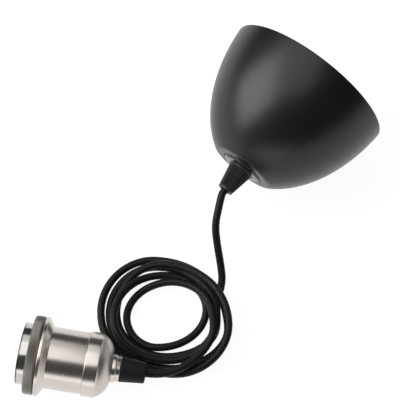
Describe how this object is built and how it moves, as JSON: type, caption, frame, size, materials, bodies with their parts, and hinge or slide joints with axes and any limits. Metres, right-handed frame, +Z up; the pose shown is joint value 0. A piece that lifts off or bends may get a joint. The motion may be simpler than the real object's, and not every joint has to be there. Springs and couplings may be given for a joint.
{
  "type": "pendant ceiling light",
  "caption": "Pendant cord set laid down: bowl ceiling canopy with a cone cord grip, a loose coil of braided cord and a metal screw lampholder with a knurled shade ring.",
  "frame": {"origin": "on the table, under the middle of the box round the rigid pieces", "axes": "+Z up from the table, +X the way the canopy's mouth faces in plan"},
  "size_m": [0.2682, 0.1148, 0.1086],
  "materials": {
    "canopy_black": "satin",
    "disc_black": "satin",
    "grip_black": "matte",
    "collet_grey": "matte",
    "cord_braid": "woven",
    "zinc_steel": "plated",
    "ivory_plastic": "matte",
    "brass": "bright",
    "lead_brown": "smooth",
    "lead_blue": "smooth",
    "brushed_nickel": "brushed",
    "polished_nickel": "polished",
    "insulator": "glazed"
  },
  "bodies": {
    "cord_set": {"canopy_cup": "canopy_black", "apex_disc": "disc_black", "threaded_nipple": "zinc_steel", "nipple_washer": "zinc_steel", "lock_nut": "zinc_steel", "cord_in_canopy": "cord_braid", "hook_clamp_body": "ivory_plastic", "hook_clamp_plate": "ivory_plastic", "clamp_screw_left": "zinc_steel", "clamp_screw_right": "zinc_steel", "terminal_block": "ivory_plastic", "terminal_screw_live": "brass", "terminal_screw_neutral": "brass", "canopy_lead_live": "lead_brown", "canopy_lead_neutral": "lead_blue", "front_collar": "polished_nickel", "holder_shell": "brushed_nickel", "insulator_core": "insulator", "screw_shell": "brass", "rear_cap": "brushed_nickel", "neck_collar": "brushed_nickel", "holder_nipple": "zinc_steel", "grommet": "grip_black", "cord_in_holder": "cord_braid", "cord_drop": "cord_braid", "cord_coil": "cord_braid", "cord_tail": "cord_braid"},
    "grip_collet": {"grip_collet": "collet_grey"},
    "grip_nut": {"cord_grip_nut": "grip_black"},
    "shade_ring": {"shade_ring": "brushed_nickel"},
    "centre_contact": {"centre_contact": "brass"}
  },
  "joints": [
    {"name": "collet_slide", "type": "slide", "parent": "cord_set", "child": "grip_collet", "axis": [-0.9715, 0, -0.2368], "range_m": [0, 0.003]},
    {"name": "grip_nut_turn", "type": "hinge", "parent": "grip_collet", "child": "grip_nut", "pos_m": [0.03671, 0, 0.03469], "axis": [-0.9715, 0, -0.2368], "range_deg": [0, 1080]},
    {"name": "shade_ring_turn", "type": "hinge", "parent": "cord_set", "child": "shade_ring", "pos_m": [-0.11324, 0.02228, 0.02347], "axis": [-0.5182, 0.8457, 0.1274], "range_deg": [0, 1080]},
    {"name": "centre_contact_flex", "type": "hinge", "parent": "cord_set", "child": "centre_contact", "pos_m": [-0.10293, 0.00546, 0.01337], "axis": [0.8526, 0.5225, 0], "range_deg": [0, 9], "stiffness_Nm_per_rad": 0.08}
  ],
  "couplings": [
    {"joint": "grip_nut_turn", "follows": "collet_slide", "rad_per_m": 6283.2}
  ]
}
